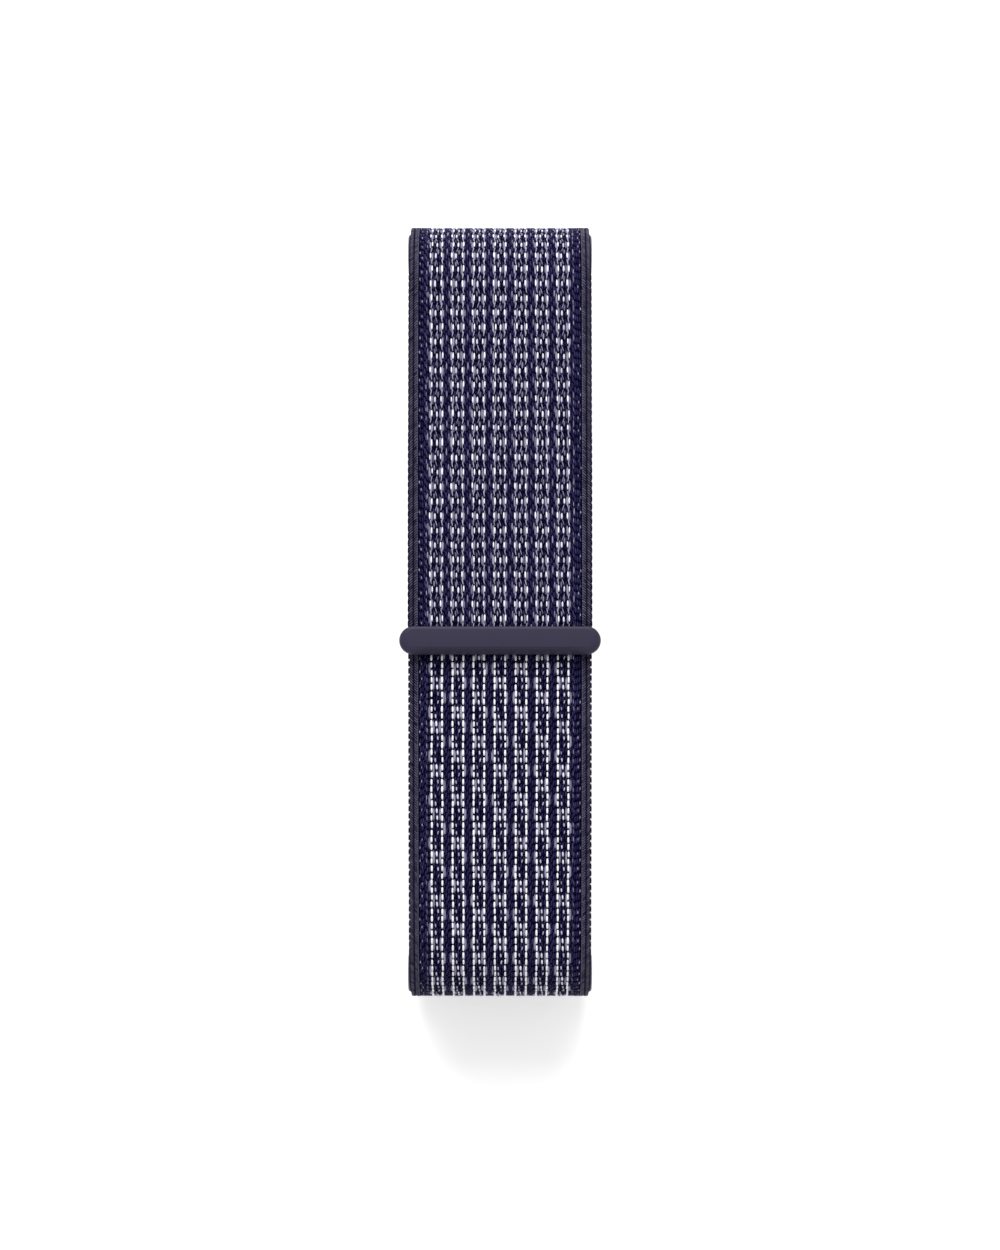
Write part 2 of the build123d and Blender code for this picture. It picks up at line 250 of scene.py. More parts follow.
bar_plastic = plastic_material("slate_moulded_bar", "302D40", "343047", 0.45, gloss=0.22)
lug_plastic = plastic_material("slate_glass_filled_nylon_lug", "33303F", "3E3B4C", 0.5, 0.25, 0.015)
latch_plastic = plastic_material("dark_acetal_latch", "24222E", "2C2A38", 0.3, 0.2, 0.005)
hook_plastic = plastic_material("black_moulded_hooks", "14131A", "1F1D28", 0.4, 0.15, 0.005)
pad_rubber = plastic_material("black_elastomer_pad", "111116", "1B1B22", 0.75, 0.4, 0.02)


def steel_material():
    """Drawn stainless steel: fine lines run along the wire, here along X."""
    material, tree, shader = start_material("drawn_stainless_steel", 0.3, metallic=1.0)
    place = add_node(tree, "ShaderNodeTexCoord")
    drawn = add_node(tree, "ShaderNodeMapping", values={"Scale": (40, 9000, 9000)},
                     links={"Vector": place.outputs["Object"]})
    lines = add_node(tree, "ShaderNodeTexNoise", values={"Scale": 1.0, "Detail": 2.0},
                     links={"Vector": drawn.outputs["Vector"]})
    two_tone(tree, shader, lines.outputs["Fac"], "8E8E93", "C9C9CE")
    return material


steel = steel_material()
print(len(bpy.data.materials), "materials")

# %% [markdown]
# ## The strip's path
#
# Real webbing bends without stretching, so the whole strip is one line with a length: from the sewn flap, round the
# lower pin, up and over the arch, down to the upper pin, round it, and back along the top as the tail. Everything on
# the webbing is placed by how far along that line it is, and how far across. The line is built from arcs, as the
# arch is, then measured out in even steps. The strip's crisp face is on its left as one travels along it.

# %% The line through the middle of the webbing
WIDTH = 24.0
THICKNESS = 2.2
GAP = 0.15                      # between two layers of webbing that lie on each other
CROWN_RADIUS, CROWN_ANGLE = 300.0, 8.0
LEG_RADIUS, LEG_ANGLE = 60.0, 80.0
FOLD_WALL, FOLD_LEG = 1.5, 2.5
FLAP_ANGLE = 84.0
TAIL_BOTTOM = THICKNESS + GAP
TAIL_TOP = TAIL_BOTTOM + THICKNESS
HOOK_PATCH_THICKNESS = 0.6
FOLD_RADIUS = TAIL_TOP / 2 - FOLD_WALL / 2
BAR_PLACE, CURL_PLACE, PEEL_PLACE = -3.6, 23.0, 35.0    # along the crown, from its middle
TIP_PAST_BAR = 1.0
THIN_LEAD, THIN_LENGTH = 0.6, 1.6   # the tail starts to thin this far before the curl's place, over this length
STEP = 0.05
SHOULDER_PACE, LEG_PACE, CROWN_PACE, PIN_PACE = 0.4, 0.05, 0.01, 1.0    # degrees between two points of an arc

lower_pin, upper_pin = joint_places["lower_lug_pivot"], joint_places["upper_lug_pivot"]
HALF_SPAN = -node_box("strap_lower_leg")[0][1]
FOLD_TOP = upper_pin[2] + FOLD_LEG


def soft_step(share):
    """Share from 0 to 1 with a gentle start and end."""
    return share * share * (3 - 2 * share)


def moved(centre, reach, tilt):
    """Points at a distance from a centre, in the direction that leans by tilt degrees from straight up."""
    angle = np.radians(tilt)
    return np.stack([centre[0] + reach * np.sin(angle), centre[1] + reach * np.cos(angle)], axis=-1)


def shoulder_radius(layers_height):
    """Skin-side radius of a shoulder whose outermost layer reaches half the band's span."""
    turn = np.sin(np.radians(LEG_ANGLE)) - np.sin(np.radians(CROWN_ANGLE))
    rest = CROWN_RADIUS * np.sin(np.radians(CROWN_ANGLE)) + LEG_RADIUS * (1 - np.sin(np.radians(LEG_ANGLE)))
    return (HALF_SPAN - layers_height - rest) / turn


LOWER_SHOULDER, UPPER_SHOULDER = shoulder_radius(THICKNESS), shoulder_radius(TAIL_TOP)
crown_centre = np.array([0.0, FRONT_HEIGHT - THICKNESS - CROWN_RADIUS])


def run(start, end, pace=STEP):
    """Evenly spaced values from start to end, about one pace apart."""
    return np.linspace(start, end, max(2, int(abs(end - start) / pace)))


def side_run(side, radius, height, tilt_from, tilt_to, shoulder=True):
    """Layer at a height off the skin face, over one side's shoulder and leg, between two tilts."""
    shoulder_centre = moved(crown_centre, CROWN_RADIUS - radius, CROWN_ANGLE)
    leg_centre = moved(shoulder_centre, radius - LEG_RADIUS, LEG_ANGLE)
    pieces = []
    if shoulder:
        pieces.append(moved(shoulder_centre, radius + height, run(tilt_from, LEG_ANGLE, SHOULDER_PACE)))
        tilt_from = LEG_ANGLE
    pieces.append(moved(leg_centre, LEG_RADIUS + height, run(tilt_from, tilt_to, LEG_PACE)))
    return np.concatenate(pieces) * [side, 1]


def to_pin(side, pin, height_offset, pin_offset, top):
    """Straight down from a leg's end to the fold round a pin, easing from the leg's offset to the fold's."""
    z = run(top, pin[2])
    share = np.clip((FOLD_TOP - z) / FOLD_LEG, 0, 1)
    offset = height_offset + (pin_offset - height_offset) * soft_step(share)
    return np.stack([pin[1] + side * offset, z], axis=-1)


def round_pin(side, pin, start, end):
    """Half turn under a pin, between two directions in degrees, measured from outward over up."""
    angle = np.radians(run(start, end, PIN_PACE))
    return np.stack([pin[1] + side * FOLD_RADIUS * np.cos(angle), pin[2] + FOLD_RADIUS * np.sin(angle)], axis=-1)


half = THICKNESS / 2
flap_height = -GAP - FOLD_WALL / 2
lower_offset = THICKNESS - TAIL_TOP / 2      # from the leg's skin face to the lower pin
upper_offset = TAIL_TOP / 2
flap = side_run(-1, LOWER_SHOULDER, flap_height, FLAP_ANGLE, 90, shoulder=False)
lower_leg = side_run(-1, LOWER_SHOULDER, half, CROWN_ANGLE, 90)
upper_leg = side_run(1, UPPER_SHOULDER, half, CROWN_ANGLE, 90)
tail_leg = side_run(1, UPPER_SHOULDER, TAIL_BOTTOM + half, CROWN_ANGLE, 90)
crown = moved(crown_centre, CROWN_RADIUS + half, run(-CROWN_ANGLE, CROWN_ANGLE, CROWN_PACE))
CROWN_END = CROWN_RADIUS * np.radians(CROWN_ANGLE)
place = run(CROWN_END, BAR_PLACE - TIP_PAST_BAR)
thin = soft_step(np.clip((CURL_PLACE + THIN_LEAD - place) / THIN_LENGTH, 0, 1))
tail_crown = moved(crown_centre, CROWN_RADIUS + TAIL_BOTTOM + half + thin * HOOK_PATCH_THICKNESS / 2,
                   np.degrees(place / CROWN_RADIUS))
stretches = {
    "flap": flap,
    "flap_to_pin": to_pin(-1, lower_pin, flap_height - lower_offset, -FOLD_RADIUS, flap[-1, 1]),
    "lower_turn": round_pin(-1, lower_pin, 180, 360),
    "pin_to_leg": to_pin(-1, lower_pin, half - lower_offset, FOLD_RADIUS, lower_leg[-1, 1])[::-1],
    "lower_leg": lower_leg[::-1],
    "crown": crown,
    "upper_leg": upper_leg,
    "leg_to_pin": to_pin(1, upper_pin, half - upper_offset, -FOLD_RADIUS, upper_leg[-1, 1]),
    "upper_turn": round_pin(1, upper_pin, 180, 360),
    "pin_to_tail": to_pin(1, upper_pin, upper_offset - half, FOLD_RADIUS, tail_leg[-1, 1])[::-1],
    "tail_leg": tail_leg[::-1],
    "tail_crown": tail_crown,
}
line = np.concatenate(list(stretches.values()))
line_s = np.concatenate([[0], np.cumsum(np.linalg.norm(np.diff(line, axis=0), axis=1))])
ends = np.cumsum([len(points) for points in stretches.values()])
start_s = {name: line_s[end - len(stretches[name])] for name, end in zip(stretches, ends)}
STRIP_LENGTH = line_s[-1]

keep = np.concatenate([[True], np.diff(line_s) > 1e-6])     # stretches share their end points
even_s = np.arange(0, STRIP_LENGTH, STEP)
even_y = np.interp(even_s, line_s[keep], line[keep, 0])
even_z = np.interp(even_s, line_s[keep], line[keep, 1])
heading = np.unwrap(np.arctan2(np.gradient(even_z), np.gradient(even_y)))
SMOOTHED = 13                   # neighbouring steps over which the heading is averaged
heading = np.convolve(np.pad(heading, SMOOTHED // 2, mode="edge"), np.ones(SMOOTHED) / SMOOTHED, mode="valid")
print("strip length", round(STRIP_LENGTH, 1), "mm")

# %% [markdown]
# The webbing isn't equally thick everywhere. It is pressed thinner round the pins, in the flap, and over the hook
# patch. The thickness is therefore one more curve along the strip, with soft steps between its levels.

# %% Thickness along the strip, and points on its faces
TAIL_THICKNESS = THICKNESS - HOOK_PATCH_THICKNESS
tail_s = start_s["tail_crown"] + (CROWN_END - CURL_PLACE - THIN_LEAD) * (1 + TAIL_BOTTOM / CROWN_RADIUS)
level_s = [0, start_s["pin_to_leg"], start_s["pin_to_leg"] + FOLD_LEG, start_s["upper_turn"] - FOLD_LEG,
           start_s["upper_turn"], start_s["pin_to_tail"], start_s["pin_to_tail"] + FOLD_LEG,
           tail_s, tail_s + THIN_LENGTH]
level = [FOLD_WALL, FOLD_WALL, THICKNESS, THICKNESS, FOLD_WALL, FOLD_WALL, THICKNESS, THICKNESS, TAIL_THICKNESS]
even_half = np.interp(even_s, level_s, level) / 2


def on_strip(x, s, lift, face):
    """Points at x across and s along the strip, lift above one of its faces: 1 is the crisp face, -1 the skin face.

    A point is the line's point plus the line's left-hand normal times face times (half the thickness plus lift).
    """
    x, s, lift = np.broadcast_arrays(x, s, lift)
    angle = np.interp(s, even_s, heading)
    reach = face * (np.interp(s, even_s, even_half) + lift)
    y = np.interp(s, even_s, even_y) - np.sin(angle) * reach
    z = np.interp(s, even_s, even_z) + np.cos(angle) * reach
    return np.stack([x, y, z], axis=-1)


CROWN_MIDDLE = start_s["crown"] + (start_s["upper_leg"] - start_s["crown"]) / 2
CUT_PLACE = (CURL_PLACE + PEEL_PLACE) / 2


def tail_place_s(place):
    """Distance along the strip of a place on the tail, given by its distance along the crown from the middle."""
    return start_s["tail_crown"] + (CROWN_END - place) * (1 + (TAIL_BOTTOM + half) / CROWN_RADIUS)


sections = {
    "lower_run": (0.0, start_s["crown"]),
    "front_run": (start_s["crown"], start_s["upper_leg"]),
    "upper_run": (start_s["upper_leg"], start_s["tail_crown"]),
    "tail_base": (start_s["tail_crown"], tail_place_s(CUT_PLACE)),
    "tail_end": (tail_place_s(CUT_PLACE), STRIP_LENGTH - STEP),
}
print({name: round(end - start, 1) for name, (start, end) in sections.items()})

# %% [markdown]
# ## Which body each stretch follows
#
# The webbing is cut into stretches. Each is listed with the one body it rides on, or with two bodies and the ends of
# the bend between them, and both sides of a cut name the same body. Only a stretch with one body is parented to it;
# the others stay fixed in place. The replaced CAD solids are listed with the stretch that stands for them.

# %% Riding and blending
def arch_point(side, radius, height, tilt):
    """Point on a shoulder, in metres, at a height off the skin face."""
    shoulder_centre = moved(crown_centre, CROWN_RADIUS - radius, CROWN_ANGLE)
    y, z = moved(shoulder_centre, radius + height, tilt)
    return (0, side * y * MM, z * MM)


def crown_point(place, height=TAIL_TOP):
    """Point above the crown, in metres."""
    y, z = moved(crown_centre, CROWN_RADIUS + height, np.degrees(place / CROWN_RADIUS))
    return (0, y * MM, z * MM)


PEEL_REACH, CURL_REACH = 3.5, 3.2      # half the length over which the tail bends at each place
PEEL_BEND = (crown_point(PEEL_PLACE + PEEL_REACH), crown_point(PEEL_PLACE - PEEL_REACH))
CURL_BEND = (crown_point(CURL_PLACE + CURL_REACH), crown_point(CURL_PLACE - CURL_REACH))
follows = {
    "lower_run": ("front", "lower_arm", arch_point(-1, LOWER_SHOULDER, 0, CROWN_ANGLE),
                  arch_point(-1, LOWER_SHOULDER, THICKNESS, LEG_ANGLE)),
    "front_run": ("front",),
    "upper_run": ("front", "upper_arm", arch_point(1, UPPER_SHOULDER, 0, CROWN_ANGLE),
                  arch_point(1, UPPER_SHOULDER, TAIL_TOP, LEG_ANGLE)),
    "tail_base": ("front", "peeling_part", *PEEL_BEND),
    "tail_end": ("peeling_part", "curling_part", *CURL_BEND),
}
stands_for = {
    "lower_run": ("strap_lower_shoulder", "strap_lower_leg", "strap_end_loop", "strap_end_flap"),
    "front_run": ("strap_front",),
    "upper_run": ("strap_upper_shoulder", "strap_upper_leg", "strap_upper_fold", "tail_leg", "tail_shoulder"),
    "tail_base": ("tail_base",),
    "tail_end": ("tail_middle", "tail_end"),
}


def attach(piece, section):
    """Parent a piece to its stretch's body when the stretch has one; otherwise bake its place into the mesh."""
    body = follows[section]
    if len(body) == 1:
        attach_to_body(piece, body[0])
    else:
        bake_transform(piece)


# %% [markdown]
# ## Meshes from arrays
#
# Every mesh is points and faces worked out as whole arrays. One helper stores them, with smooth shading, a UV map in
# millimetres along the yarn, and the tone of each vertex.

# %% Mesh helper
def make_piece(name, points, faces, material, uv=None, tone=None):
    """Mesh object from points in millimetres and faces of one size, with optional UV and tone per vertex."""
    mesh = bpy.data.meshes.new(name)
    corners = faces.shape[1]
    mesh.vertices.add(len(points))
    mesh.vertices.foreach_set("co", (points * MM).astype(np.float32).ravel())
    mesh.loops.add(faces.size)
    mesh.loops.foreach_set("vertex_index", faces.astype(np.int32).ravel())
    mesh.polygons.add(len(faces))
    mesh.polygons.foreach_set("loop_start", np.arange(0, faces.size, corners, dtype=np.int32))
    mesh.polygons.foreach_set("use_smooth", np.ones(len(faces), bool))
    if uv is not None:
        layer = mesh.uv_layers.new(name="along_yarn")
        layer.data.foreach_set("uv", uv[faces.ravel()].astype(np.float32).ravel())
    if tone is not None:
        attribute = mesh.attributes.new("tone", "FLOAT", "POINT")
        attribute.data.foreach_set("value", tone.astype(np.float32))
    mesh.update(calc_edges=True)
    mesh.validate()
    mesh.materials.append(material)
    piece = bpy.data.objects.new(name, mesh)
    scene.collection.objects.link(piece)
    return piece


def tube_faces(rings, sides):
    """Quads between the rings of a tube that is open at both ends."""
    ring, side = np.meshgrid(np.arange(rings - 1), np.arange(sides), indexing="ij")
    near = ring * sides + side
    next_side = ring * sides + (side + 1) % sides
    return np.stack([near, next_side, next_side + sides, near + sides], axis=-1).reshape(-1, 4)


def triangles(quads):
    """Each quad as two triangles."""
    return np.concatenate([quads[:, [0, 1, 2]], quads[:, [0, 2, 3]]])


def closed_tube(rings, sides):
    """Triangles of a tube with a fan to a pole at each end. The two poles are stored after the rings."""
    side = np.arange(sides)
    last = (rings - 1) * sides
    first_fan = np.stack([np.full(sides, rings * sides), (side + 1) % sides, side], axis=-1)
    last_fan = np.stack([np.full(sides, rings * sides + 1), last + side, last + (side + 1) % sides], axis=-1)
    return np.concatenate([triangles(tube_faces(rings, sides)), first_fan, last_fan])


def capped_tube(rings, sides):
    """Triangles of a tube whose ends are closed by a fan from their first corner."""
    last = (rings - 1) * sides
    fan = range(1, sides - 1)
    return np.concatenate([triangles(tube_faces(rings, sides)), [(0, i + 1, i) for i in fan],
                           [(last, last + i, last + i + 1) for i in fan]])


# %% [markdown]
# ## The ground cloth
#
# Under the pattern lies a dense plain ground: weft ribs one row apart, pulled down between the warp columns. It is a
# closed tube with a rounded-rectangle outline. The selvedges are thicker than the middle, where the floats lie on top.

# %% Ground cloth
ROW = 0.956                     # distance between two weft rows
COLUMN = 2.762                  # distance between two pattern columns
SELVEDGE = 1.3
SELVEDGE_PLACE = WIDTH / 2 - SELVEDGE
CLOTH_EDGE = 11.75              # where the faces end and the round edge begins
MIDDLE_PLACE, EDGE_STEP = 10.4, 0.3     # the cloth has stepped down here, over this width
SELVEDGE_DROP, MIDDLE_DROP = 0.05, 0.17
RIB_HEIGHT, RIB_WANDER = 0.05, 1.2
ROW_POINTS = 4                  # rings of the cloth per weft row
EDGE_TURNS = (62, 31, 0, -31, -62)      # degrees
EDGE_FLATNESS = 0.97
EDGE_NOTCH = 0.06               # depth of the edge's scallops, one per row


def ground_cloth_piece(section):
    """Rounded-rectangle tube along one stretch, with a rib per row.

    Lift is the selvedge's or the middle's level, plus RIB_HEIGHT times a cosine with the period of a row.
    """
    start, end = sections[section]
    s = np.linspace(start, end, int((end - start) / ROW * ROW_POINTS) + 2)
    face_x = np.concatenate([np.linspace(-CLOTH_EDGE, -SELVEDGE_PLACE, 5),
                             np.linspace(-MIDDLE_PLACE, MIDDLE_PLACE, 25),
                             np.linspace(SELVEDGE_PLACE, CLOTH_EDGE, 5)])
    inner = np.clip((SELVEDGE_PLACE - np.abs(face_x)) / EDGE_STEP, 0, 1)
    row_angle = 2 * np.pi * s[:, None] / ROW
    rib = RIB_HEIGHT * np.cos(row_angle + RIB_WANDER * np.sin(face_x * 9))
    lift = -SELVEDGE_DROP - MIDDLE_DROP * inner + rib * inner
    edge_x = WIDTH / 2 - EDGE_NOTCH * (1 + np.cos(row_angle))
    half_now = np.interp(s, even_s, even_half)[:, None]
    edges = []
    for side in (1, -1):
        turn = np.radians(EDGE_TURNS)
        x = side * (CLOTH_EDGE + (edge_x - CLOTH_EDGE) * np.cos(turn))
        edge_lift = half_now * (np.sin(turn) * side * EDGE_FLATNESS - 1) - SELVEDGE_DROP * np.sin(turn) * side
        edges.append(on_strip(x, s[:, None], edge_lift, 1))
    crisp_face = on_strip(face_x, s[:, None], lift, 1)
    skin_face = on_strip(face_x[::-1], s[:, None], lift[:, ::-1], -1)
    ring = np.concatenate([crisp_face, edges[0], skin_face, edges[1]], axis=1)
    across = np.concatenate([[0], np.cumsum(np.linalg.norm(np.diff(ring[0], axis=0), axis=1))])
    uv = np.stack(np.broadcast_arrays(across[None, :], s[:, None]), axis=-1).reshape(-1, 2)
    points = np.concatenate([ring.reshape(-1, 3), ring[0].mean(0)[None], ring[-1].mean(0)[None]])
    uv = np.concatenate([uv, [[WIDTH / 2, s[0]]], [[WIDTH / 2, s[-1]]]])
    faces = closed_tube(*ring.shape[:2])[:, ::-1]
    piece = make_piece("ground_cloth_dye_and_painted_shade_" + section, points, faces, ground_cloth_dye_and_painted_shade, uv)
    attach(piece, section)
    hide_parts(*stands_for[section])
    print(piece.name, len(piece.data.polygons), "faces")


for section in sections:
    ground_cloth_piece(section)

# %% [markdown]
# ## Yarn floats
#
# A float is the short length of yarn that shows between two places where it dives under the weft. All floats are one
# closed shape, a tube whose width swells and closes again, with different lengths, widths, leans and fullness. The
# fullness is the power of a superellipse: 2 gives a lens and 5 a dash with squared ends.

# %% Float shape
FLOAT_ARCH = 0.04               # how far a float's middle stands above its ends
SQUARE_REACH = 1.35             # radians of a sine that crowd a squared float's rings towards its ends
TURN_UV = 0.16                  # millimetres of the UV map per radian round a yarn


def floats(name, section, face, material, rows, rings=4, sides=6, power=2.0, across=False):
    """One mesh of many floats on a face of one stretch.

    rows holds, per float: x and s of its centre, its full length, width and height, how far its middle line lies
    above the face, its sideways lean per length, and its tone.
    """
    x, s, length, width, height, lift, lean, tone = np.array(rows, float).T[:, :, None, None]
    if power < 3:
        along = np.linspace(-1, 1, rings + 2)[1:-1]
    else:
        along = np.sin(np.linspace(-1, 1, rings) * SQUARE_REACH)
    swell = (1 - np.abs(along) ** power) ** (1 / power)
    around = 2 * np.pi * (np.arange(sides) + 0.5) / sides
    side = np.cos(around) * swell[:, None]
    rise = np.sin(around) * swell[:, None]
    u = along[:, None]
    reach = u * length / 2
    sweep = lean * reach + side * width / 2
    up = lift + rise * height / 2 + FLOAT_ARCH * (1 - u * u)
    pole_reach = np.array([-1.0, 1.0])[None, :, None] * length / 2
    if across:
        ring = on_strip(x + reach, s + sweep, up, face)
        pole = on_strip(x + pole_reach, s + lean * pole_reach, lift, face)
    else:
        ring = on_strip(x + sweep, s + reach, up, face)
        pole = on_strip(x + lean * pole_reach, s + pole_reach, lift, face)
    count = len(ring)
    points = np.concatenate([ring.reshape(count, -1, 3), pole.reshape(count, -1, 3)], axis=1)
    one = closed_tube(len(along), sides)
    if (face > 0) != across:
        one = one[:, ::-1]
    faces = (one[None] + (np.arange(count) * points.shape[1])[:, None, None]).reshape(-1, 3)
    uv = np.stack(np.broadcast_arrays(around * TURN_UV, reach + s), axis=-1).reshape(count, -1, 2)
    pole_uv = np.stack(np.broadcast_arrays(0.5, pole_reach + s), axis=-1).reshape(count, -1, 2)
    uv = np.concatenate([uv, pole_uv], axis=1).reshape(-1, 2)
    tones = np.repeat(tone.ravel(), points.shape[1])
    piece = make_piece(name, points.reshape(-1, 3), faces, material, uv, tones)
    attach(piece, section)
    return piece


# %% [markdown]
# ## The draft
#
# A weaver writes a pattern as a draft: what shows in each row of one column. The crisp face repeats every six rows,
# and each column starts two rows higher than its left neighbour, which gives the rising diagonals. The skin face
# repeats every four rows with all columns in step. A draft entry gives row, sideways place, length, width, lean and
# tone. Rows count from the repeat's start in the direction that the draft is read.

# %% Drafts of the two faces
RIGHT, LEFT = 1, -1
CRISP_REPEAT, SKIN_REPEAT = 6, 4
WHITE_LINE = COLUMN / 4         # each column has a white yarn on both sides of its middle

crisp_white = [(row, side * WHITE_LINE, 0.77, 0.30, 0.0, 0.95)
               for row in range(CRISP_REPEAT) for side in (LEFT, RIGHT)]
crisp_pearl = []
for middle_row, places in ((0.5, ((-WHITE_LINE, LEFT),)), (2.5, ((-WHITE_LINE, RIGHT), (WHITE_LINE, LEFT))),
                           (4.5, ((WHITE_LINE, RIGHT),))):
    for line_x, side in places:      # two filament groups that swell apart and close on the white line again
        crisp_pearl.append((middle_row, line_x + side * 0.22, 2.00, 0.22, 0.0, 0.85))
        crisp_pearl.append((middle_row, line_x + side * 0.35, 1.70, 0.20, 0.0, 0.40))
crisp_lilac = [
    (0, -0.22, 0.56, 0.20, 0.10, 0.30), (1, -0.18, 0.60, 0.24, 0.05, 0.42),
    (2, -0.03, 0.72, 0.28, 0.05, 1.00), (3, 0.01, 0.72, 0.28, 0.05, 1.00),
    (4, 0.12, 0.60, 0.24, 0.05, 0.42), (5, 0.16, 0.56, 0.20, -0.20, 0.30),
]


def both_lines(entries):
    """Draft entries that repeat beside the white line on each side of a column's middle."""
    return [(row, side * WHITE_LINE + shift, *rest) for side in (LEFT, RIGHT) for row, shift, *rest in entries]


skin_white = both_lines(((0, 0.07, 0.84, 0.22, 0.0, 0.95), (2, -0.13, 0.80, 0.22, 0.0, 0.95)))
skin_pearl = both_lines(((0.2, -0.12, 1.75, 0.20, 0.06, 0.95), (0.1, -0.27, 1.45, 0.17, 0.02, 0.45),
                         (2.2, 0.05, 1.75, 0.20, -0.06, 0.95), (2.1, 0.20, 1.45, 0.17, -0.02, 0.45),
                         (1.0, -0.03, 0.95, 0.16, -0.20, 1.00), (3.0, -0.03, 0.95, 0.16, 0.20, 1.00)))
skin_pearl += [(1.4, 0.13, 0.95, 0.24, 0.0, 0.40), (3.4, -0.26, 0.85, 0.22, 0.0, 0.40),
               (1.4, 1.33, 1.15, 0.22, 0.0, 0.45), (3.4, -1.15, 1.20, 0.22, 0.0, 0.45),
               (1.0, -0.04, 0.90, 0.15, -0.30, 0.60), (3.0, -0.06, 0.90, 0.15, 0.32, 0.60)]
skin_lilac = [(0.1, 0.07, 0.86, 0.26, 0.0, 0.80), (2.1, -0.20, 0.86, 0.26, 0.0, 0.80)]

CRISP_START = CROWN_MIDDLE - 6.88       # a place on each face where a repeat begins
SKIN_START = tail_place_s(18.2) + 0.13
COLUMNS = range(-3, 4)
LENGTH_SPREAD, DRAFT_TONE_SPREAD, NAVY_TONE_SPREAD = 0.06, 0.16, 0.22
random = np.random.default_rng(7)


def draft_rows(draft, section, face, height, lift):
    """Every float of a draft on one face of one stretch, with a little of the unevenness of real yarn."""
    start, end = sections[section]
    begin, repeat, sense = (CRISP_START, CRISP_REPEAT, -1) if face > 0 else (SKIN_START, SKIN_REPEAT, 1)
    rows = []
    first, last = int((start - begin) / ROW) - repeat, int((end - begin) / ROW) + repeat
    for column in COLUMNS:
        rise = 2 * column if face > 0 else 0
        for repeat_row in range(first - first % repeat - repeat, last + repeat, repeat):
            for row, shift, length, width, lean, tone in draft:
                s = begin + (repeat_row + sense * row + rise) * ROW
                if start <= s < end and length / 2 < s < STRIP_LENGTH - length / 2:
                    rows.append((column * COLUMN + shift, s, length, width, height, lift, sense * lean, tone))
    rows = np.array(rows)
    jitter = 0.02 if face > 0 else 0.03
    spread = np.clip(random.normal(0, 1, (len(rows), 4)), -2.5, 2.5)
    rows[:, 0] += spread[:, 0] * jitter
    rows[:, 1] += spread[:, 1] * jitter * 1.5
    rows[:, 2:4] *= 1 + LENGTH_SPREAD * spread[:, 2:3]
    rows[:, 7] = np.clip(rows[:, 7] + DRAFT_TONE_SPREAD * spread[:, 3], 0, 1)
    return rows


# %% [markdown]
# The navy yarn fills what is left. Between the columns four navy floats lie side by side in each row, and more in the
# outermost bands, so the dark bands are cloth too. Others lie in the column's own hollows.

# %% Navy floats
BAND_FLOATS = ((-0.75, 0.30), (-0.45, 0.32), (-0.15, 0.34), (0.15, 0.34), (0.45, 0.32), (0.75, 0.30))   # place, width
HOLLOW_FLOATS = (-0.36, 0.0, 0.36)
WHITE_REACH = 9.9               # beyond this the bands have no white neighbour
NAVY_REACH = 10.6
SWING = 0.03                    # the bands' floats lean to alternate sides, row by row
STAGGER = 0.24


def row_numbers(section, begin, pace):
    """First and last whole number of steps from a starting place that falls in a stretch of the strip."""
    start, end = sections[section]
    start, end = max(start, pace), min(end, STRIP_LENGTH - pace)
    return int(np.ceil((start - begin) / pace)), int(np.ceil((end - begin) / pace))


def navy_rows(section, face):
    """Navy floats of one face of one stretch, row by row."""
    begin = CRISP_START if face > 0 else SKIN_START
    rows = []
    for number in range(*row_numbers(section, begin, ROW)):
        s = begin + number * ROW
        for column in range(-4, 4):
            band = (column + 0.5) * COLUMN
            swing = SWING if number % 2 else -SWING
            for shift, width in BAND_FLOATS:
                beside_white = abs(shift) > 0.6 and abs(band + shift) < WHITE_REACH
                if abs(band + shift) < NAVY_REACH and not beside_white:
                    stagger = STAGGER if shift == -0.15 else -STAGGER
                    rows.append((band + shift + swing, s + shift * 0.3 + stagger,
                                 1.00, width, 0.22, -0.10, 0.10, 0.50))
            if column in COLUMNS:
                for shift in HOLLOW_FLOATS:
                    rows.append((column * COLUMN + shift, s + 0.3, 0.90, 0.34, 0.2, -0.16, 0.1, 0.35))
    rows = np.array(rows)
    spread = random.normal(0, 1, (len(rows), 2))
    rows[:, 1] += 0.04 * spread[:, 0]
    rows[:, 7] = np.clip(rows[:, 7] + NAVY_TONE_SPREAD * spread[:, 1], 0, 1)
    return rows


# %% Weave both faces
FACES = {"crisp": 1, "skin": -1}
drafts = {                      # kind, draft, yarn, height, lift and fullness
    "crisp": (("white_dashes", crisp_white, white_yarn, 0.22, 0.0, 5.0),
              ("pearl_floats", crisp_pearl, pearl_yarn, 0.20, -0.07, 2.0),
              ("lilac_thread", crisp_lilac, lilac_yarn, 0.20, -0.02, 2.6)),
    "skin": (("white_dashes", skin_white, white_yarn, 0.20, -0.01, 3.5),
             ("pearl_floats", skin_pearl, pearl_yarn, 0.18, -0.07, 2.0),
             ("lilac_thread", skin_lilac, lilac_yarn, 0.20, -0.03, 2.6)),
}
for section in sections:
    for face_name, face in FACES.items():
        if section == "tail_end" and face > 0:
            continue                # the hook patch is sewn over this face
        outside = (face > 0) == (section in ("lower_run", "front_run")) or section == "upper_run"
        for kind, draft, yarn, height, lift, power in drafts[face_name]:
            rows = draft_rows(draft, section, face, height, lift)
            rings, sides = (4, 5) if outside else (3, 4)
            if outside and kind == "white_dashes":
                sides = 6
            floats(f"{kind}_{face_name}_{section}", section, face, yarn, rows, rings, sides, power)
        floats(f"navy_floats_{face_name}_{section}", section, face, navy_yarn, navy_rows(section, face), 3, 4)

# %% [markdown]
# ## Selvedges
#
# The two edges are a finer, closer twill in slate, whose diagonal doesn't follow the pattern's rows. A dark catch cord
# binds the outermost edge. Small pearl-grey tie-downs show just inside the selvedge, on two warp ends in every other
# row and on a third in every row.

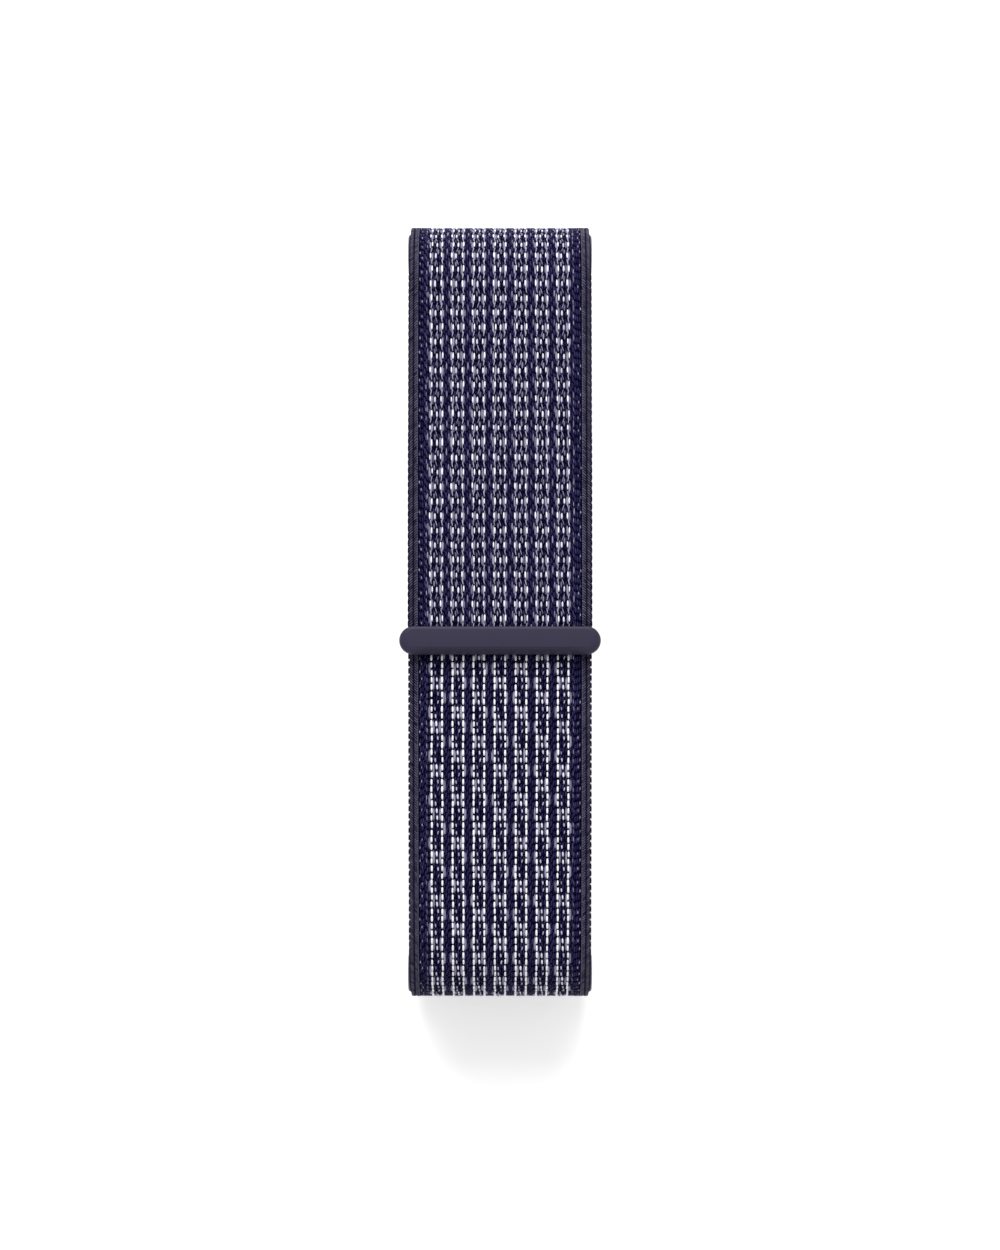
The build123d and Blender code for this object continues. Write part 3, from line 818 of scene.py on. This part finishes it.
# %% Selvedge twill, catch cord and tie-downs
TWILL_PITCH = 0.34
TWILL_PLACE, TWILL_SHIFT, INNER_TWILL_PLACE = 11.32, 0.30, 10.80
TIE_PLACES = (10.26, 10.52)     # even rows, odd rows
INNER_TIE_PLACE = 9.62
TIES_SHOWN = 0.8                # share of the tie-downs that show
CORD_PLACE = 11.98
TWILL_TONE_SPREAD, TIE_TONE_SPREAD = 0.22, 0.3


def selvedge_rows(section):
    """Floats of the twill and of the tie-downs along both edges of one stretch."""
    twill, ties = [], []
    for side in (LEFT, RIGHT):
        for number in range(*row_numbers(section, 0, TWILL_PITCH)):
            s = number * TWILL_PITCH
            for shift in (-TWILL_SHIFT, TWILL_SHIFT):
                twill.append((side * (TWILL_PLACE + shift), s + shift * 0.9, 0.60, 0.30, 0.15, -0.04, 0.9 * side, 0.66))
            twill.append((side * INNER_TWILL_PLACE, s, 0.44, 0.20, 0.12, -0.03, 0.2, 0.85))
        for number in range(*row_numbers(section, CRISP_START, ROW)):
            s = CRISP_START + number * ROW
            ties.append((side * TIE_PLACES[number % 2], s, 0.46, 0.15, 0.18, -0.02, 0.1, 0.60))
            ties.append((side * INNER_TIE_PLACE, s, 0.80, 0.13, 0.16, -0.05, 0.0, 0.30))
    return np.array(twill), np.array(ties)


def vary_tone(rows, spread):
    """Change each float's tone at random, within the yarn's range."""
    rows[:, 7] = np.clip(rows[:, 7] + random.normal(0, spread, len(rows)), 0, 1)


for section in sections:
    for face_name, face in FACES.items():
        if section == "tail_end" and face > 0:
            continue
        twill, ties = selvedge_rows(section)
        ties = ties[random.random(len(ties)) < TIES_SHOWN]
        ties[:, :2] += np.clip(random.normal(0, 1, (len(ties), 2)), -2, 2) * (0.03, 0.09)
        vary_tone(twill, TWILL_TONE_SPREAD)
        vary_tone(ties, TIE_TONE_SPREAD)
        floats(f"selvedge_twill_{face_name}_{section}", section, face, slate_yarn, twill, 3, 4)
        floats(f"tie_downs_{face_name}_{section}", section, face, pearl_yarn, ties, 3, 5)
    cord = [(side * CORD_PLACE, (number + 0.5) * ROW, 0.98, 0.20, 1.0, -0.9, 0.0, 0.15)
            for side in (LEFT, RIGHT) for number in range(*row_numbers(section, 0.5 * ROW, ROW))]
    floats(f"catch_cord_{section}", section, 1, navy_yarn, cord, 4, 6)

# %% [markdown]
# ## Seam of the lower loop
#
# The strip's end is turned round the lower pin and sewn down with two rows of lock stitches. The thread lies in short
# lengths across the strip on both outer sides of the seam and sinks a little where it enters the cloth.

# %% Lock stitches
STITCHES, STITCH_PITCH, STITCH_LENGTH, THREAD = 8, 2.6, 2.0, 0.4
SEAM_ROWS = (0.9, 2.7)          # distance of each row from the end of the fold
seam = []
leg_s, flap_s = start_s["pin_to_leg"] + FOLD_LEG, start_s["flap_to_pin"]
for above in SEAM_ROWS:
    for number in range(STITCHES):
        x = (number - (STITCHES - 1) / 2) * STITCH_PITCH
        for s in (leg_s + above, flap_s - above):
            seam.append((x, s, STITCH_LENGTH, THREAD, THREAD * 0.8, -0.02, 0.04, 0.5))
stitches = floats("lock_stitches", "lower_run", 1, lilac_yarn, seam, 8, 8, 3.5, across=True)
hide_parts("end_loop_stitches")
print(len(seam), "stitches")

# %% [markdown]
# ## Hook patch
#
# The tail's underside carries moulded hooks that grip the brushed face of the strap below. Each hook is a short stem
# that bends over towards the tip of the tail or away from it, row by row, as a hook tape is moulded.

# %% Hook backing and hooks
HOOK_HEIGHT, HOOK_BACKING, HOOK_WIDTH = 0.3, 0.3, 21.0
HOOK_ACROSS, HOOK_ALONG = 0.5, 0.62         # distance between two hooks
HOOK_MARGIN = 0.4
BACKING_OUTLINE = ((-1, 0), (-0.997, 0.7), (-0.985, 1), (0.985, 1), (0.997, 0.7), (1, 0))   # of half width, thickness
HOOK_LINE = ((-0.12, 0.0), (-0.10, 0.12), (-0.05, 0.22), (0.05, 0.27), (0.15, 0.22), (0.18, 0.16))  # along, down
HOOK_THICKNESS = (0.10, 0.07, 0.055, 0.05, 0.045, 0.02)
HOOK_CLEARANCE = 0.005
hook_low, hook_high = node_box("hook_backing")
hook_places = CROWN_RADIUS * np.arcsin(np.array([hook_low[1], hook_high[1]]) / (CROWN_RADIUS + TAIL_BOTTOM))


def over_crown(x, place, height):
    """Points above the crown: x across, place along the crown's arc, and height off its skin face."""
    x, place, height = np.broadcast_arrays(x, place, height)
    angle = place / CROWN_RADIUS
    reach = CROWN_RADIUS + height
    return np.stack([x, crown_centre[0] + reach * np.sin(angle), crown_centre[1] + reach * np.cos(angle)], axis=-1)


def hook_backing_piece():
    """Thin plate with rounded long edges, bent to the crown."""
    place = np.linspace(*hook_places, 40)
    corner = np.array(BACKING_OUTLINE)
    ring = over_crown(corner[:, 0] * HOOK_WIDTH / 2, place[:, None],
                      TAIL_BOTTOM + HOOK_HEIGHT + corner[:, 1] * HOOK_BACKING)
    piece = make_piece("hook_backing_plate", ring.reshape(-1, 3), capped_tube(*ring.shape[:2]), hook_plastic)
    attach(piece, "tail_end")
    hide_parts("hook_backing")


def hooks_piece():
    """Rows of hooks: a tapering four-sided tube along a line that drops, then bends over and back."""
    line_along, line_down = np.array(HOOK_LINE).T
    thick = np.array(HOOK_THICKNESS)
    place = np.arange(hook_places[0] + HOOK_MARGIN, hook_places[1] - HOOK_MARGIN, HOOK_ALONG)
    x = np.arange(-HOOK_WIDTH / 2 + HOOK_ACROSS, HOOK_WIDTH / 2 - HOOK_MARGIN, HOOK_ACROSS)
    grid_x, grid_place = [a.ravel() for a in np.meshgrid(x, place)]
    way = np.where(np.round((grid_x - x[0]) / HOOK_ACROSS) % 2 > 0, 1.0, -1.0)[:, None, None]
    square = np.array([(1, 1), (-1, 1), (-1, -1), (1, -1)])
    rise = 0.5 * square[:, 1] * thick[:, None]
    ring_x = grid_x[:, None, None] + square[None, None, :, 0] * thick[None, :, None] * way
    ring_place = grid_place[:, None, None] + way * (line_along[:, None] + rise)
    ring_height = TAIL_BOTTOM + HOOK_HEIGHT - line_down[:, None] + rise
    ring = over_crown(ring_x, ring_place, np.clip(ring_height, TAIL_BOTTOM + HOOK_CLEARANCE, None)[None])
    count, rings, sides = ring.shape[:3]
    last = (rings - 1) * sides
    one = np.concatenate([tube_faces(rings, sides), [(3, 2, 1, 0), (last, last + 1, last + 2, last + 3)]])
    faces = (one[None] + (np.arange(count) * rings * sides)[:, None, None]).reshape(-1, 4)
    piece = make_piece("moulded_hooks", ring.reshape(-1, 3), faces, hook_plastic)
    attach(piece, "tail_end")
    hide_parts("hook_field")
    print(count, "hooks")


hook_backing_piece()
hooks_piece()

# %% [markdown]
# ## End bar
#
# The bar is a moulded pill that clamps the tail's tip. In plan it is a slot shape with round ends. Its top is flat
# towards the tail and falls away in a bevel towards the free side, with a crease where the two meet. The crease fades
# out before the round ends. It is drawn as rings that shrink from the outline to the middle line.

# %% Bar cover
BAR_LENGTH, BAR_WIDTH, BAR_BACK, BAR_COVER = 26.3, 3.7, 0.8, 2.3
FREE_ROUND, TAIL_ROUND = 1.2, 0.35  # radius of the top's edge on the free side and on the tail's side
ROUND_DEPTH = 0.6               # share of the rounding's depth that is kept
CREASE = 1.0                    # distance of the crease from the bar's middle line
CREASE_DEPTH, CREASE_WIDTH = 0.12, 0.06
CREASE_MARGIN, CREASE_FADE = 1.2, 2.6   # the crease stops this far from the ends, and fades over this length
BEVEL = 1.15                    # fall of the bevel per millimetre
SAG_START, SAG_REACH, SAG = 1.2, 3.0, 0.16  # the top curves down towards the free side, by SAG over this reach
WALL_LEVELS = (0.66, 0.33, 0.0)
FOOT_LENGTH, FOOT_WIDTH = 0.98, 0.9     # share of the outline that the underside keeps
RING_RADIUS = (1.85, 1.845, 1.83, 1.80, 1.75, 1.67, 1.58, 1.48, 1.38, 1.28, 1.20, 1.12, 1.08, 1.04, 1.02,
               1.00, 0.98, 0.95, 0.90, 0.80, 0.65, 0.50, 0.35, 0.20, 0.08, 0.01)    # closest at the edge and the crease


def bar_cover_piece():
    """Closed mesh of the cover.

    Height is the full height minus a quarter-round of the edge, minus a bevel and a narrow groove at the crease, both
    only on the free side and fading near the ends.
    """
    ring_radius = np.array(RING_RADIUS)[:, None]
    turn = np.radians(np.linspace(-90, 90, 33))
    straight_end = BAR_LENGTH / 2 - BAR_WIDTH / 2
    straight = np.linspace(-1, 1, 60)[1:-1] * straight_end
    level, on_end = 0 * straight, 0 * turn
    along_x = np.concatenate([np.cos(turn), level, -np.cos(turn), level])
    across_y = np.concatenate([np.sin(turn), level + 1, np.sin(turn[::-1]), level - 1])
    centre_x = np.concatenate([on_end + straight_end, straight[::-1], on_end - straight_end, straight])
    x = centre_x + ring_radius * along_x
    t = ring_radius * across_y
    depth = BAR_WIDTH / 2 - ring_radius
    towards_tail = np.clip(across_y, 0, 1) ** 2
    edge = FREE_ROUND + (TAIL_ROUND - FREE_ROUND) * towards_tail
    round_off = edge - np.sqrt(np.clip(edge ** 2 - np.clip(edge - depth, 0, None) ** 2, 0, None))
    top_height = BAR_COVER - ROUND_DEPTH * round_off - SAG * np.clip(SAG_START - t, 0, None) ** 2 / SAG_REACH ** 2
    fade = soft_step(np.clip((BAR_LENGTH / 2 - CREASE_MARGIN - np.abs(x)) / CREASE_FADE, 0, 1))
    bevel = BEVEL * np.clip(-t - CREASE, 0, None)
    height = top_height - fade * (bevel + CREASE_DEPTH * np.exp(-((-t - CREASE) / CREASE_WIDTH) ** 2))
    wall_rings = len(WALL_LEVELS)
    x = np.concatenate([x[::-1], np.repeat(x[:1], wall_rings, axis=0), x[:1] * FOOT_LENGTH])
    t = np.concatenate([t[::-1], np.repeat(t[:1], wall_rings, axis=0), t[:1] * FOOT_WIDTH])
    height = np.concatenate([height[::-1], height[:1] * np.array(WALL_LEVELS)[:, None], 0 * height[:1]])
    tilt = BAR_PLACE / CROWN_RADIUS
    base = crown_centre + (CROWN_RADIUS + TAIL_BOTTOM + BAR_BACK) * np.array([np.sin(tilt), np.cos(tilt)])
    y = base[0] + t * np.cos(tilt) + height * np.sin(tilt)
    z = base[1] - t * np.sin(tilt) + height * np.cos(tilt)
    rings = np.stack([x, y, z], axis=-1)
    points = np.concatenate([rings.reshape(-1, 3), rings[0].mean(0)[None], rings[-1].mean(0)[None]])
    piece = make_piece("end_bar_shell", points, closed_tube(*rings.shape[:2])[:, ::-1], bar_plastic)
    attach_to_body(piece, "curling_part")
    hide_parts("end_bar_cover")


bar_cover_piece()

# %% [markdown]
# ## Latch springs
#
# A coil spring pushes each latch out. It is a helix with flattened end turns, drawn at one length.

# %% Springs
WIRE, TURNS, TRAVEL = 0.26, 3, 0.6
END_TURNS = 1.0                 # half a flat turn at each end
COIL_STEPS, WIRE_SIDES = 150, 8


def latch_spring(side_name, way):
    """Coil between a lug's bore and its latch. way is 1 for the upper lug and -1 for the lower one."""
    low, high = node_box(side_name + "_lug_latch_spring")
    middle, size = (low + high) / 2, high - low
    radius = max(size[0], size[2]) / 2 - WIRE / 2
    length = size[1] - WIRE
    share = np.linspace(0, 1, COIL_STEPS)
    angle = 2 * np.pi * (TURNS + END_TURNS) * share
    climb = np.clip((share * (TURNS + END_TURNS) - END_TURNS / 2) / TURNS, 0, 1)
    centre_line = np.stack([radius * np.cos(angle), (climb - 0.5) * length * way, radius * np.sin(angle)],
                           axis=-1) + middle
    outward = np.stack([np.cos(angle), 0 * angle, np.sin(angle)], axis=-1)
    around = 2 * np.pi * np.arange(WIRE_SIDES) / WIRE_SIDES
    ring = (centre_line[:, None] + (WIRE / 2) * (np.cos(around)[None, :, None] * outward[:, None]
            + np.sin(around)[None, :, None] * np.array([0, way, 0])))
    faces = capped_tube(COIL_STEPS, WIRE_SIDES)[:, ::way]
    spring = make_piece(side_name + "_coil_spring", ring.reshape(-1, 3), faces, steel)
    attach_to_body(spring, side_name + "_lug")
    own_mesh(spring)
    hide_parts(side_name + "_lug_latch_spring")


latch_spring("upper", 1)
latch_spring("lower", -1)

# %% [markdown]
# ## Finishes of the parts that keep their CAD shape
#
# The lugs and their latch caps are moulded in glass-filled nylon, the latches in acetal, the pins are drawn steel, and
# the small pads are elastomer. Their shapes come straight from the CAD model.

# %% Finishes
lug_finishes = {"body": lug_plastic, "pin": steel, "latch": latch_plastic, "latch_cap": lug_plastic, "pads": pad_rubber}
finishes = {f"{side_name}_lug_{part}": material
            for side_name in ("upper", "lower") for part, material in lug_finishes.items()}
finishes["end_bar_back"] = bar_plastic
for node, material in finishes.items():
    mesh = frame["nodes"][node].data
    mesh.materials.clear()
    mesh.materials.append(material)

# %% [markdown]
# The floor is a white panel lit from within, as on a light table, so that no hard shadow lies beside the strap.

# %% Floor
FLOOR_REACH, FLOOR_GLOW = 3.0, 0.4      # metres to each side, and the strength of its light
floor_mesh = bpy.data.meshes.new("floor")
floor_mesh.from_pydata([(x * FLOOR_REACH, y * FLOOR_REACH, 0) for x, y in ((-1, -1), (1, -1), (1, 1), (-1, 1))],
                       [], [(0, 1, 2, 3)])
floor = bpy.data.objects.new("floor", floor_mesh)
floor_material, _, floor_shader = start_material("lit_white_panel", 0.9)
floor_shader.inputs["Base Color"].default_value = linear("FDFDFD")
floor_shader.inputs["Emission Color"].default_value = (1, 1, 1, 1)
floor_shader.inputs["Emission Strength"].default_value = FLOOR_GLOW
floor_mesh.materials.append(floor_material)
scene.collection.objects.link(floor)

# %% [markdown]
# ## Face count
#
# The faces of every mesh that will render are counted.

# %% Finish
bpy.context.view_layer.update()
faces_total = sum(len(o.data.polygons) for o in scene.objects if o.type == "MESH" and not o.hide_render)
print("faces shown:", faces_total)
